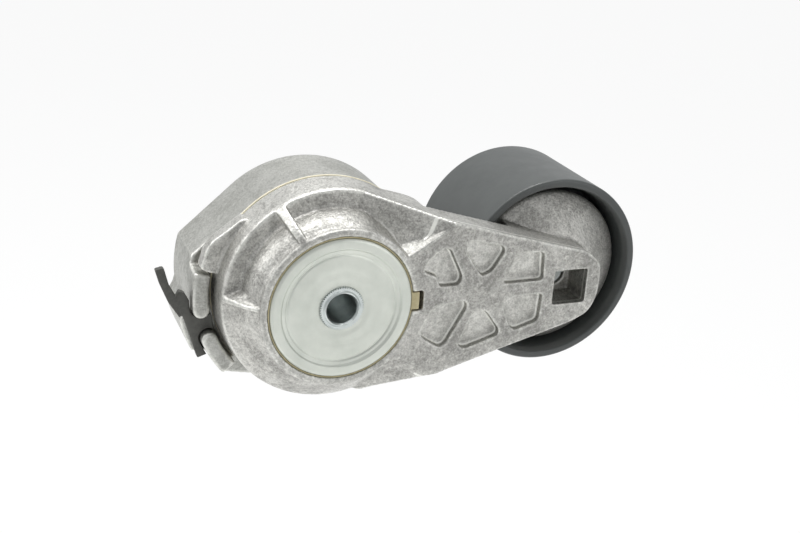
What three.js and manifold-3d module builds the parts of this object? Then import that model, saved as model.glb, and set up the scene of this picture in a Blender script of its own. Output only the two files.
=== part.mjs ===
// Belt tensioner with a sprung arm and a flat idler pulley, as an assembly of separate pieces.
//
// Millimetres, +Z up. The arm's pivot axis is the Y axis, and the origin is where it meets the
// plane that bolts to the engine. The front of the tensioner faces -Y, and the arm points along +X.
// Distances called "depth" are counted back from the front plate's face.

import * as THREE from 'three';
import { mergeVertices } from 'three/addons/utils/BufferGeometryUtils.js';
import Module from 'manifold-3d';

const wasm = await Module();
wasm.setup();

// ---- Driving dimensions -------------------------------------------------------------------------

const OVERALL_DEPTH = 62;       // front plate face to engine face
const CENTRES = 86.45;          // pivot axis to pulley axis
const GAP = 0.3;                // clearance kept between neighbouring pieces

const BOLT_BORE_R = 5.15;       // clears the M10 bolt that holds the tensioner
const SHAFT_R = 8;              // pivot tube, outside
const PLATE_R = 25;             // front plate
const COLLAR_INSIDE_R = 25.9;   // raised collar of the arm round the plate
const COLLAR_R = 28;
const HUB_FRONT_R = 38.2;       // arm hub at its front rim
const HUB_REAR_R = 39;          // arm hub where it meets the case
const HUB_FRONT = 12.6;         // depth of the hub's front rim
const HUB_REAR = 25;            // depth of the hub's rear edge
const ARM_TUBE_R = 14.5;        // tube of the arm that turns on the bushing
const ARM_TUBE_END = 45.5;

const WEB_FACE = 0.4;           // depth of the arm's flat face
const WEB_BACK = 14;
const DRIVE_SQUARE = 13;        // half-inch square drive
const DRIVE_DEPTH = 13;
const THREAD_HOLE_R = 4.3;

const CASE_R = 38.4;            // spring case, outside
const CASE_FRONT = 26.4;
const CASE_REAR = 53;
const CASE_INSIDE_R = 34.5;
const CASE_FLOOR = 49.5;
const STOP_R = 46;              // outside of the stop lugs and of the boss behind them
const STOP_INSIDE_R = 40.3;
const STOP_FACE = 20;           // depth of the stop lugs' front faces
const MOUNT_BOSS_R = 27;

const PULLEY_R = 35.46;
const PULLEY_FRONT = 15.4;
const PULLEY_REAR = 59.5;
const PULLEY_INSIDE_R = 31.8;
const BEARING_MID = 37.5;
const BEARING_WIDTH = 12;       // ball bearing 17 x 40 x 12
const BEARING_BORE_R = 8.5;
const BEARING_OUTER_R = 20;
const BALL_R = 3.37;
const BALL_ORBIT_R = 14.25;
const BALLS = 8;

const FINE = 64;                // segments round a large turned piece
const MEDIUM = 40;              // round a middling one
const COARSE = 28;              // and round a small or hidden one

// ---- Materials ----------------------------------------------------------------------------------

const metal = (color, roughness, metalness = 1) =>
  new THREE.MeshStandardMaterial({ color, roughness, metalness });
const plain = (color, roughness) => new THREE.MeshStandardMaterial({ color, roughness, metalness: 0 });

const CAST_ALUMINIUM = metal(0xb9b9b2, 0.5);
const ZINC_STEEL = metal(0xc4c8c1, 0.35);
const BRIGHT_STEEL = metal(0xbfc2c4, 0.25);
const SPRING_STEEL = metal(0x4a4a48, 0.45);
const BLACK_STEEL = metal(0x3f403c, 0.6, 0.4);
const PULLEY_COAT = plain(0x4d504d, 0.45);
const CREAM_NYLON = plain(0xe1d7b4, 0.55);
const BEIGE_NYLON = plain(0xb9b08c, 0.6);
const SEAL_RUBBER = plain(0x2b2622, 0.7);
const CAGE_STEEL = metal(0xa9a294, 0.4);

// ---- Geometry helpers ---------------------------------------------------------------------------

const degrees = (angle) => (angle * Math.PI) / 180;
const polar = (radius, angle) =>
  [radius * Math.cos(degrees(angle)), radius * Math.sin(degrees(angle))];

// A three.js geometry as a manifold solid.
function solid(geometry) {
  const bare = geometry.clone();
  bare.deleteAttribute('normal');
  bare.deleteAttribute('uv');
  const welded = mergeVertices(bare, 1e-4);
  const vertProperties = new Float32Array(welded.attributes.position.array);
  const triVerts = new Uint32Array(welded.index.array);
  return new wasm.Manifold(new wasm.Mesh({ numProp: 3, vertProperties, triVerts }));
}

// A manifold solid as a three.js geometry.
function geometryOf(shape) {
  const mesh = shape.getMesh();
  const geometry = new THREE.BufferGeometry();
  const positions = new Float32Array(mesh.vertProperties);
  geometry.setAttribute('position', new THREE.BufferAttribute(positions, 3));
  geometry.setIndex(new THREE.BufferAttribute(new Uint32Array(mesh.triVerts), 1));
  geometry.computeVertexNormals();
  return geometry;
}

// A profile of [radius, depth] points turned about the pivot axis, or about one parallel to it at x.
function turned(profile, segments = FINE, x = 0) {
  const points = profile.map(([radius, depth]) => new THREE.Vector2(radius, depth));
  const onAxis = profile[0][0] === 0 && profile[profile.length - 1][0] === 0;
  if (!onAxis) points.push(points[0].clone());
  if (signedArea(profile) < 0) points.reverse();
  return new THREE.LatheGeometry(points, segments).translate(x, -OVERALL_DEPTH, 0);
}

// A round hole between two depths, about the pivot axis or about one parallel to it at x.
function hole(radius, front, back, segments, x = 0) {
  return solid(turned([[0, front], [radius, front], [radius, back], [0, back]], segments, x));
}

function signedArea(profile) {
  let area = 0;
  profile.forEach(([x, y], i) => {
    const [nextX, nextY] = profile[(i + 1) % profile.length];
    area += x * nextY - nextX * y;
  });
  return area / 2;
}

// An outline in the XZ plane, drawn from [x, z] points with its corners rounded.
function outline(points, cornerRadius = 0) {
  const shape = new THREE.Shape();
  const count = points.length;
  points.forEach((corner, i) => {
    const here = new THREE.Vector2(...corner);
    const before = new THREE.Vector2(...points[(i + count - 1) % count]).sub(here);
    const after = new THREE.Vector2(...points[(i + 1) % count]).sub(here);
    const setback = Math.min(cornerRadius, before.length() * 0.45, after.length() * 0.45);
    const start = here.clone().addScaledVector(before.normalize(), setback);
    const end = here.clone().addScaledVector(after.normalize(), setback);
    if (i === 0) shape.moveTo(start.x, start.y);
    else shape.lineTo(start.x, start.y);
    if (setback > 0) shape.quadraticCurveTo(here.x, here.y, end.x, end.y);
  });
  shape.closePath();
  return shape;
}

// A slab of an XZ outline between two depths. Its curves are drawn with a few straight steps.
function slab(shape, front, back, curveSegments = 4) {
  const geometry = new THREE.ExtrudeGeometry(shape, {
    depth: back - front,
    bevelEnabled: false,
    curveSegments,
  });
  return geometry.rotateX(Math.PI / 2).translate(0, back - OVERALL_DEPTH, 0);
}

// The points of an arc about the pivot axis.
function arcPoints(radius, fromAngle, toAngle, steps) {
  return Array.from({ length: steps + 1 }, (_, i) =>
    polar(radius, fromAngle + ((toAngle - fromAngle) * i) / steps));
}

// A sector of a ring about the pivot axis, between two depths.
function sector(inner, outer, fromAngle, toAngle, front, back, steps = 12) {
  const points = [
    ...arcPoints(outer, fromAngle, toAngle, steps),
    ...arcPoints(inner, toAngle, fromAngle, steps),
  ];
  return slab(outline(points), front, back);
}

const box = (sx, sy, sz, x, depth, z) =>
  new THREE.BoxGeometry(sx, sy, sz).translate(x, depth - OVERALL_DEPTH, z);

const join = (...pieces) => pieces.reduce((whole, piece) => whole.add(piece));
const cut = (body, ...tools) => tools.reduce((whole, tool) => whole.subtract(tool), body);

const assembly = new THREE.Group();

function addPiece(name, geometry, material) {
  const mesh = new THREE.Mesh(geometry, material);
  mesh.name = name;
  assembly.add(mesh);
}

// ---- Arm casting --------------------------------------------------------------------------------

// Hub: a collar round the front plate, a cone down to the front rim, a skirt back to the case and
// the tube that turns on the bushing.
function armHub() {
  const profile = [
    [COLLAR_INSIDE_R, 0],
    [COLLAR_R - 0.5, 0],
    [COLLAR_R, 0.5],
    [COLLAR_R + 0.6, 2],
    [HUB_FRONT_R - 1, HUB_FRONT - 1.2],
    [HUB_FRONT_R - 0.3, HUB_FRONT - 0.5],
    [HUB_FRONT_R, HUB_FRONT + 0.4],
    [HUB_REAR_R, HUB_REAR],
    [35, HUB_REAR],
    [34.6, 16.8],
    [29, 16.2],
    [26.6, 10.2],
    [16, 9],
    [ARM_TUBE_R, 11],
    [ARM_TUBE_R, ARM_TUBE_END],
    [SHAFT_R + 2.8, ARM_TUBE_END],
    [SHAFT_R + 2.8, 4.6],
    [COLLAR_INSIDE_R, 4.6],
  ];
  return solid(turned(profile));
}

// Web: the flat-faced plate that runs out to the pulley, with a deeper shoulder next to the hub.
const WEB_OUTLINE = [
  [9, 37], [37.6, 28.2], [60, 21.8], [92.5, 13], [98.2, 8], [98.6, 0], [97.8, -6], [95, -11],
  [88, -14.2], [60, -22], [39, -28], [15.8, -35.9], [12, -37.7], [9, -36.8],
];
const SHOULDER_OUTLINE = [
  [8, 37], [20, 33.4], [27, 31.4], [31.5, 29.9], [34.5, 28.2], [39.5, 22.5], [43.5, 12], [44.5, 0],
  [43.5, -12], [39.5, -22.5], [34.5, -28.2], [31.5, -29.9], [27, -31.4], [20, -33.4], [8, -37],
];

function armWeb() {
  const web = solid(slab(outline(WEB_OUTLINE, 2.5), WEB_FACE, WEB_BACK));
  const shoulder = solid(slab(outline(SHOULDER_OUTLINE, 3), HUB_FRONT, HUB_REAR));
  const inHub = solid(turned([[0, -2], [HUB_FRONT_R - 3.4, -2], [HUB_FRONT_R - 3.4, 40], [0, 40]]));
  const inCollar = hole(COLLAR_INSIDE_R, -2, 16.5, FINE);
  return join(cut(web, inCollar, rampCutter(1), rampCutter(-1)), cut(shoulder, inHub));
}

// Boss: the round flange inside the pulley's mouth and the seat behind it for the bearing.
const BOSS_FLANGE_R = 29.5;
const BOSS_SEAT_R = 12.5;
const BOSS_SEAT = 31.2;

function armBoss() {
  const profile = [
    [0, 12],
    [15, 12],
    [BOSS_FLANGE_R - 3, 19.6],
    [BOSS_FLANGE_R - 0.5, 21],
    [BOSS_FLANGE_R, 22],
    [BOSS_FLANGE_R - 0.6, 25.2],
    [BOSS_SEAT_R + 2, 27],
    [BOSS_SEAT_R, BOSS_SEAT],
    [0, BOSS_SEAT],
  ];
  const disc = solid(turned(profile, FINE, CENTRES));
  const inFlange = [[0, 0], [BOSS_FLANGE_R - 1.2, 0], [BOSS_FLANGE_R - 1.2, 21], [0, 21]];
  const roundFlange = solid(turned(inFlange, FINE, CENTRES));
  const deepWeb = solid(slab(outline(WEB_OUTLINE, 2.5), WEB_BACK - 1, 21)).intersect(roundFlange);
  return join(disc, deepWeb);
}

// Stop: the wedge on the hub's skirt that rests on the case's upper stop lug.
function armStop() {
  const wedge = [
    polar(37, 133), polar(40.2, 138), polar(42.6, 149), polar(44.2, 153), polar(44.9, 158),
    polar(44.8, 166.4), polar(42, 167.6), polar(37, 167.6),
  ];
  return solid(slab(outline(wedge, 0.8), 19.4, HUB_REAR));
}

// Ramps that take the web's flat face down to the hub's front rim, above and below the collar.
const RAMP_START = [35.8, 28.5];
const RAMP_INNER = [21.8, 20.6];
const RAMP_RUN = 21;

function rampCutter(side) {
  const start = new THREE.Vector2(...RAMP_START);
  const along = new THREE.Vector2(...RAMP_INNER).sub(start).normalize();
  const away = new THREE.Vector2(along.y, -along.x);
  const drop = HUB_FRONT - WEB_FACE;
  const geometry = new THREE.BoxGeometry(60, 1, 40);
  const position = geometry.attributes.position;
  for (let i = 0; i < position.count; i += 1) {
    const distance = position.getZ(i) > 0 ? 40 : 0;
    const reach = position.getX(i) > 0 ? 60 : -20;
    const floor = WEB_FACE + (drop * distance) / RAMP_RUN;
    const depth = position.getY(i) > 0 ? floor : WEB_FACE - 6;
    const x = start.x + along.x * reach + away.x * distance;
    const z = start.y + along.y * reach + away.y * distance;
    position.setXYZ(i, x, depth - OVERALL_DEPTH, side * z);
  }
  if (side > 0) flip(geometry);
  return solid(geometry);
}

function flip(geometry) {
  const index = geometry.index.array;
  for (let i = 0; i < index.length; i += 3) [index[i], index[i + 1]] = [index[i + 1], index[i]];
}

// Pockets between the ribs of the hub, open at the front rim.
const RIB_ANGLES = [120, 170];
const POCKET_FLOOR = 12.2;
const POCKET_INNER_R = 32;
const RIB_HALF_ANGLE = 2.9;

function hubPocket(fromAngle, toAngle, steps) {
  const outer = HUB_FRONT_R + 8;
  return solid(sector(POCKET_INNER_R, outer, fromAngle, toAngle, -4, POCKET_FLOOR, steps));
}

function hubPockets() {
  const [upperRib, leftRib] = RIB_ANGLES;
  const upper = hubPocket(30, upperRib - RIB_HALF_ANGLE, 24);
  const left = hubPocket(upperRib + RIB_HALF_ANGLE, leftRib - RIB_HALF_ANGLE, 14);
  return [upper.intersect(rampCutter(1)), left];
}

// The six shallow pockets in the web's face, round a small plain middle.
const WEB_POCKETS = [
  [[29.5, 13.6], [35.6, 18.8], [38.4, 18.2], [43.6, 7.6], [42.6, 4.6], [35, 4.6], [34.2, 8.4],
    [29, 10.4]],
  [[44, 17], [45.4, 20.8], [58.6, 17.6], [59, 15.4], [54.8, 8.6], [51, 7]],
  [[59.6, 5.2], [64.4, 14.8], [74.6, 14.2], [75.2, 3.5], [60, 3.5]],
  [[60, -4.4], [61, -1.9], [75.6, -1.6], [75, -12.2], [66, -15], [64, -13.6]],
  [[49, -6], [53.8, -6.2], [59.8, -14.4], [59, -16.4], [46.4, -20.2], [43.8, -18.4]],
  [[29.2, -11], [33.8, -2.6], [45.6, -1.6], [46.4, -4.2], [38.8, -17.8], [36.6, -18.4],
    [29.8, -14]],
];
const WEB_POCKET_DEPTH = 2.8;

function webPockets() {
  return WEB_POCKETS.map((points) =>
    solid(slab(outline(points, 1.8), -2, WEB_FACE + WEB_POCKET_DEPTH, 3)));
}

function armCasting() {
  const squareFloor = WEB_FACE + DRIVE_DEPTH;
  const squareMiddle = squareFloor / 2 - 1.8;
  const square = solid(box(DRIVE_SQUARE, DRIVE_DEPTH + 4, DRIVE_SQUARE, CENTRES, squareMiddle, 0));
  const thread = hole(THREAD_HOLE_R, 10, 34, COARSE, CENTRES);
  const bore = hole(SHAFT_R + 2.8, 3, 50, MEDIUM);
  const tabNotch = solid(box(7.4, 6.6, 7.2, 25.7, 1.6, 0.2));
  const shape = join(armHub(), armWeb(), armBoss(), armStop());
  return cut(shape, ...hubPockets(), ...webPockets(), square, thread, bore, tabNotch);
}

// ---- Arm fittings -------------------------------------------------------------------------------

// Thrust washer behind the front plate, with a thin rim that shows as a line round the plate. Its
// tab turns with the arm, in the notch of the collar.
function thrustWasher() {
  const rimInside = PLATE_R + GAP;
  const rimOutside = rimInside + GAP;
  const ring = solid(turned([
    [12, 3], [rimInside, 3], [rimInside, 0.9], [rimOutside, 0.9], [rimOutside, 4.3], [12, 4.3],
  ]));
  const tab = solid(box(3.8, 3.6, 6.4, 26.1, 2.5, 0.2));
  return geometryOf(join(ring, tab).subtract(hole(rimInside, -1, 3, FINE)));
}

function pivotBushing() {
  const inside = SHAFT_R + GAP;
  const outside = SHAFT_R + 2.5;
  return turned([
    [inside, 4.9], [outside, 4.9], [outside, ARM_TUBE_END], [inside, ARM_TUBE_END],
  ], COARSE);
}

// ---- Pivot: shaft and front plate ---------------------------------------------------------------

const STAKE_R = 7.7;            // serrated, staked end of the pivot tube
const SERRATIONS = 56;

function serratedRing(front, back) {
  const points = [];
  for (let i = 0; i < SERRATIONS * 2; i += 1) {
    points.push(polar(i % 2 === 0 ? STAKE_R : STAKE_R - 0.45, (i * 180) / SERRATIONS));
  }
  return solid(slab(outline(points), front, back));
}

function pivotShaft() {
  const tube = solid(turned([
    [0, -0.4], [STAKE_R - 1.3, -0.4], [STAKE_R - 0.9, 0.6], [STAKE_R - 0.9, 2.9], [SHAFT_R, 2.9],
    [SHAFT_R, OVERALL_DEPTH], [0, OVERALL_DEPTH],
  ], MEDIUM));
  const bore = solid(turned([
    [0, -2], [BOLT_BORE_R + 1.6, -2], [BOLT_BORE_R + 0.8, 0], [BOLT_BORE_R, 1],
    [BOLT_BORE_R, OVERALL_DEPTH - 0.8], [BOLT_BORE_R + 0.8, OVERALL_DEPTH + 1],
    [0, OVERALL_DEPTH + 1],
  ], COARSE));
  return geometryOf(cut(join(tube, serratedRing(0.1, 0.9)), bore));
}

function frontPlate() {
  return turned([
    [STAKE_R - 0.6, 1.2], [STAKE_R + 1.2, 1.2], [STAKE_R + 3, 0.9], [18.8, 0.9], [19.6, 0.6],
    [20.5, 0.6], [21.1, 0], [PLATE_R - 0.6, 0], [PLATE_R, 0.5], [PLATE_R, 2.4], [20, 2.6],
    [STAKE_R - 0.6, 2.6],
  ], MEDIUM);
}

// ---- Spring case --------------------------------------------------------------------------------

// The cup's outline with its boss for the stops: a straight flank above, then the stops' radius,
// a thicker stretch behind the stop clip, and a straight lower edge.
function caseOutline() {
  return outline([
    ...arcPoints(CASE_R, -118, 129, 44),
    ...arcPoints(STOP_R, 165, 186, 7),
    ...arcPoints(50.2, 189, 207, 6),
    ...arcPoints(STOP_R, 209, 224, 5),
    [-24, -33.8],
  ]);
}

function caseCup() {
  const body = solid(slab(caseOutline(), CASE_FRONT, CASE_REAR - 3));
  const rearEdge = solid(turned([
    [0, CASE_REAR - 3.5], [CASE_R, CASE_REAR - 3.5], [CASE_R, CASE_REAR - 2.4],
    [CASE_R - 0.7, CASE_REAR - 0.8], [CASE_R - 2.2, CASE_REAR],
    [MOUNT_BOSS_R + 2, CASE_REAR], [MOUNT_BOSS_R, CASE_REAR + 2],
    [MOUNT_BOSS_R, OVERALL_DEPTH], [0, OVERALL_DEPTH],
  ]));
  const bossRear = solid(slab(caseOutline(), CASE_REAR - 3.5, CASE_REAR));
  const bossOnly = solid(sector(36, 52, 126, 232, CASE_REAR - 4, CASE_REAR + 1, 20));
  return join(body, rearEdge, bossRear.intersect(bossOnly));
}

// A stop lug: a curved bar with one round end, where the clip's waist passes between the two. With
// some room added it is the space that the clip keeps clear of.
function stopLug(fromAngle, toAngle, roundAngle, room = 0) {
  const middle = (STOP_R + STOP_INSIDE_R) / 2;
  const front = STOP_FACE - room;
  const back = CASE_FRONT + 1 + room;
  const bar = sector(STOP_INSIDE_R - room, STOP_R + room, fromAngle, toAngle, front, back, 10);
  const end = new THREE.Shape();
  end.absarc(...polar(middle, roundAngle), STOP_R - middle + room, 0, Math.PI * 2);
  return join(solid(bar), solid(slab(end, front, back, 8)));
}

function springCase() {
  const cavity = solid(turned([
    [0, CASE_FRONT - 1], [CASE_INSIDE_R, CASE_FRONT - 1], [CASE_INSIDE_R, CASE_FLOOR - 2],
    [CASE_INSIDE_R - 2, CASE_FLOOR], [0, CASE_FLOOR],
  ]));
  const bore = hole(SHAFT_R + GAP, CASE_FLOOR - 2, OVERALL_DEPTH + 1, MEDIUM);
  const reliefInside = HUB_REAR_R + 0.6;
  const reliefBack = CASE_FRONT + 2.6;
  const relief = sector(reliefInside, STOP_R + 1, 150, 168.8, CASE_FRONT - 2, reliefBack, 6);
  const pinHole = solid(pinCylinder(PIN_R + GAP, OVERALL_DEPTH - 10, OVERALL_DEPTH + 1));
  const pinBoss = solid(pinCylinder(PIN_R + 4, CASE_REAR - 2, OVERALL_DEPTH));
  const lugs = [stopLug(169.2, 187, 187), stopLug(201.2, 219.5, 201.2)];
  return cut(join(caseCup(), ...lugs, pinBoss), cavity, bore, solid(relief), pinHole);
}

// Locating pin, pressed into the boss behind the stops.
const PIN_R = 3;
const PIN_PLACE = polar(39, 196);
const PIN_PROUD = 6;

function pinCylinder(radius, front, back) {
  const circle = new THREE.Shape().absarc(...PIN_PLACE, radius, 0, Math.PI * 2);
  return slab(circle, front, back, 12);
}

function locatingPin() {
  return pinCylinder(PIN_R, OVERALL_DEPTH - 9.6, OVERALL_DEPTH + PIN_PROUD);
}

// Damper bushing: the nylon sleeve inside the case, with the thin flange that shows all round
// between the arm and the case.
function damperBushing() {
  const inside = 32.6;
  const outside = CASE_INSIDE_R - GAP;
  const flange = HUB_REAR_R + 0.2;
  return turned([
    [inside, HUB_REAR + GAP], [flange, HUB_REAR + GAP], [flange, CASE_FRONT - GAP],
    [outside, CASE_FRONT - GAP], [outside, 44], [inside, 44],
  ], MEDIUM);
}

// Stop clip: a stamped plate held between the two lugs, with a hooked finger outside the case.
const CLIP_FRONT = 23.4;
const CLIP_BACK = CASE_FRONT - GAP;

function stopClip() {
  const plate = outline([
    [-50.4, 0.2], [-49.8, 1.5], [-47.9, 0.6], [-45.2, -4.5], [-38.6, -8], [-37.8, -15],
    [-39.8, -22.6], [-43.6, -23.9], [-47.6, -10.8], [-50.6, -2.6],
  ]);
  const finger = new THREE.Shape();
  finger.moveTo(-57.7, 9.6);
  finger.quadraticCurveTo(-54.6, -3.5, -49.6, -8.4);
  finger.lineTo(-47.5, -6);
  finger.quadraticCurveTo(-51.6, 0, -54.8, 10.3);
  finger.closePath();
  const armRoom = hole(HUB_REAR_R + 0.6, 15, 30, FINE);
  const lugRoom = [stopLug(160, 187, 187, 0.5), stopLug(201.2, 226, 201.2, 0.5)];
  const stamping = join(
    solid(slab(plate, CLIP_FRONT, CLIP_BACK)),
    solid(slab(finger, CLIP_FRONT + 0.5, CLIP_BACK, 8)),
  );
  return geometryOf(cut(stamping, armRoom, ...lugRoom));
}

// Torsion spring, wound from round wire between the arm's tube and the damper bushing.
const SPRING_R = 26;
const SPRING_WIRE_R = 2.6;
const SPRING_TURNS = 4;
const SPRING_FRONT = 20;
const SPRING_BACK = 45.5;

class Helix extends THREE.Curve {
  getPoint(t, target = new THREE.Vector3()) {
    const angle = t * SPRING_TURNS * Math.PI * 2;
    const depth = SPRING_FRONT + (SPRING_BACK - SPRING_FRONT) * t;
    return target.set(SPRING_R * Math.cos(angle), depth - OVERALL_DEPTH, SPRING_R * Math.sin(angle));
  }
}

function torsionSpring() {
  const wire = new THREE.Shape().absarc(0, 0, SPRING_WIRE_R, 0, Math.PI * 2);
  return new THREE.ExtrudeGeometry(wire, {
    steps: SPRING_TURNS * 18,
    curveSegments: 3,
    extrudePath: new Helix(),
  });
}

// ---- Pulley and its bearing ---------------------------------------------------------------------

const BEARING_FRONT = BEARING_MID - BEARING_WIDTH / 2;
const BEARING_REAR = BEARING_MID + BEARING_WIDTH / 2;
const RACE_GROOVE_R = BALL_R + 0.16;
const INNER_RACE_R = 11.8;
const OUTER_RACE_R = 16.7;

function pulleyShell() {
  const edge = 1;
  const seat = BEARING_OUTER_R + GAP;
  return turned([
    [PULLEY_R - edge, PULLEY_FRONT], [PULLEY_R, PULLEY_FRONT + edge],
    [PULLEY_R, PULLEY_REAR - edge], [PULLEY_R - edge, PULLEY_REAR],
    [PULLEY_INSIDE_R + 0.8, PULLEY_REAR], [PULLEY_INSIDE_R, PULLEY_REAR - 3],
    [PULLEY_INSIDE_R - 0.4, BEARING_MID + 3], [24.5, BEARING_MID + 3],
    [24.5, BEARING_REAR + 3.4], [seat, BEARING_REAR + 3.4],
    [seat, BEARING_FRONT], [seat - 2, BEARING_FRONT - GAP], [seat - 2, BEARING_FRONT - 2],
    [24, BEARING_FRONT - 2], [26, BEARING_MID - 3], [PULLEY_INSIDE_R - 0.4, BEARING_MID - 4],
    [PULLEY_INSIDE_R, PULLEY_FRONT + 3], [PULLEY_INSIDE_R + 0.8, PULLEY_FRONT],
  ], FINE, CENTRES);
}

// The profile of a ball groove: points on a circle of the ball's radius, between two depths.
function groove(side, raceRadius) {
  const halfWidth = Math.sqrt(RACE_GROOVE_R ** 2 - (BALL_ORBIT_R - raceRadius) ** 2);
  const reach = Math.asin(halfWidth / RACE_GROOVE_R);
  return [-1, -0.5, 0, 0.5, 1].map((t) => [
    BALL_ORBIT_R + side * RACE_GROOVE_R * Math.cos(reach * t),
    BEARING_MID + RACE_GROOVE_R * Math.sin(reach * t),
  ]);
}

function innerRace() {
  return turned([
    [BEARING_BORE_R, BEARING_FRONT], [INNER_RACE_R, BEARING_FRONT], ...groove(-1, INNER_RACE_R),
    [INNER_RACE_R, BEARING_REAR], [BEARING_BORE_R, BEARING_REAR],
  ], COARSE, CENTRES);
}

function outerRace() {
  return turned([
    [BEARING_OUTER_R, BEARING_FRONT], [OUTER_RACE_R, BEARING_FRONT], ...groove(1, OUTER_RACE_R),
    [OUTER_RACE_R, BEARING_REAR], [BEARING_OUTER_R, BEARING_REAR],
  ], COARSE, CENTRES);
}

function bearingSeal(depth) {
  return turned([
    [INNER_RACE_R + GAP, depth], [OUTER_RACE_R - GAP, depth], [OUTER_RACE_R - GAP, depth + 0.9],
    [INNER_RACE_R + GAP, depth + 0.9],
  ], COARSE, CENTRES);
}

function ballCage() {
  const ring = solid(turned([
    [BALL_ORBIT_R - 0.9, BEARING_MID - 2.2], [BALL_ORBIT_R + 0.9, BEARING_MID - 2.2],
    [BALL_ORBIT_R + 0.9, BEARING_MID + 4.5], [BALL_ORBIT_R - 0.9, BEARING_MID + 4.5],
  ], COARSE, CENTRES));
  const rooms = Array.from({ length: BALLS }, (_, i) => ballRoom(i));
  return geometryOf(cut(ring, ...rooms));
}

function ballPlace(i) {
  const [x, z] = polar(BALL_ORBIT_R, (i * 360) / BALLS);
  return [CENTRES + x, BEARING_MID - OVERALL_DEPTH, z];
}

// A pocket in the cage, open towards the front.
function ballRoom(i) {
  const [x, y, z] = ballPlace(i);
  const room = new THREE.CylinderGeometry(BALL_R + 0.25, BALL_R + 0.25, 8, 12);
  const angle = Math.atan2(z, x - CENTRES);
  room.rotateZ(Math.PI / 2).rotateY(-angle).translate(x, y, z);
  const mouth = new THREE.BoxGeometry(8, 6, 3.6).translate(0, -3, 0);
  mouth.rotateY(-angle).translate(x, y, z);
  return solid(room).add(solid(mouth));
}

function ball(i) {
  return new THREE.SphereGeometry(BALL_R, 10, 7).translate(...ballPlace(i));
}

function retainingRing() {
  return turned([
    [BEARING_OUTER_R - 2.4, BEARING_REAR + GAP], [BEARING_OUTER_R, BEARING_REAR + GAP],
    [BEARING_OUTER_R, BEARING_REAR + 1.8], [BEARING_OUTER_R - 2.4, BEARING_REAR + 1.8],
  ], COARSE, CENTRES);
}

// Pulley bolt: a flanged hexagon head behind the bearing, a plain shoulder in the bearing's bore
// and the threaded end in the arm's boss.
const BOLT_HEAD = BEARING_REAR + 2.6;
const BOLT_TIP = 19;

function pulleyBolt() {
  const shoulder = BEARING_BORE_R - GAP;
  const turnedPart = solid(turned([
    [0, BOLT_TIP], [THREAD_HOLE_R - 1, BOLT_TIP], [THREAD_HOLE_R - GAP, BOLT_TIP + 1],
    [THREAD_HOLE_R - GAP, BOSS_SEAT + GAP], [shoulder, BOSS_SEAT + GAP], [shoulder, BOLT_HEAD],
    [12, BOLT_HEAD], [12, BOLT_HEAD + 1.4], [9.4, BOLT_HEAD + 2.6], [0, BOLT_HEAD + 2.6],
  ], COARSE, CENTRES));
  const hexagon = Array.from({ length: 6 }, (_, i) => polar(17 / Math.sqrt(3), i * 60 + 30));
  const head = slab(outline(hexagon), BOLT_HEAD + 2, BOLT_HEAD + 10).translate(CENTRES, 0, 0);
  return geometryOf(turnedPart.add(solid(head)));
}

function bearingWasher() {
  return turned([
    [BEARING_BORE_R, BEARING_REAR + GAP], [11.6, BEARING_REAR + GAP], [11.6, BOLT_HEAD - GAP],
    [BEARING_BORE_R, BOLT_HEAD - GAP],
  ], COARSE, CENTRES);
}

// ---- Assembly -----------------------------------------------------------------------------------

addPiece('spring_case', geometryOf(springCase()), CAST_ALUMINIUM);
addPiece('pivot_shaft', pivotShaft(), ZINC_STEEL);
addPiece('front_plate', frontPlate(), ZINC_STEEL);
addPiece('stop_clip', stopClip(), BLACK_STEEL);
addPiece('locating_pin', locatingPin(), BRIGHT_STEEL);
addPiece('torsion_spring', torsionSpring(), SPRING_STEEL);
addPiece('damper_bushing', damperBushing(), CREAM_NYLON);

addPiece('tensioner_arm', geometryOf(armCasting()), CAST_ALUMINIUM);
addPiece('thrust_washer', thrustWasher(), BEIGE_NYLON);
addPiece('pivot_bushing', pivotBushing(), CREAM_NYLON);
addPiece('pulley_bolt', pulleyBolt(), BRIGHT_STEEL);
addPiece('bearing_washer', bearingWasher(), ZINC_STEEL);
addPiece('bearing_inner_race', innerRace(), BRIGHT_STEEL);

addPiece('pulley_shell', pulleyShell(), PULLEY_COAT);
addPiece('bearing_outer_race', outerRace(), BRIGHT_STEEL);
addPiece('bearing_seal_front', bearingSeal(BEARING_FRONT + GAP), SEAL_RUBBER);
addPiece('bearing_seal_rear', bearingSeal(BEARING_REAR - GAP - 0.9), SEAL_RUBBER);
addPiece('retaining_ring', retainingRing(), SPRING_STEEL);

addPiece('ball_cage', ballCage(), CAGE_STEEL);
for (let i = 0; i < BALLS; i += 1) addPiece(`bearing_ball_${i + 1}`, ball(i), BRIGHT_STEEL);

export default assembly;
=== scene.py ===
# %% [markdown]
# # A sprung belt tensioner with a flat idler pulley
# The tensioner is a cast arm that swings on a tube through a cast spring case. The arm carries a
# turned steel pulley on a ball bearing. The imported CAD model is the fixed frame: it says where
# everything is and how it moves, and this script builds the finished surfaces around it.
# %% Load the frame
import math

import bmesh
import bpy
import numpy as np
from mathutils import Matrix, Vector


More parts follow.
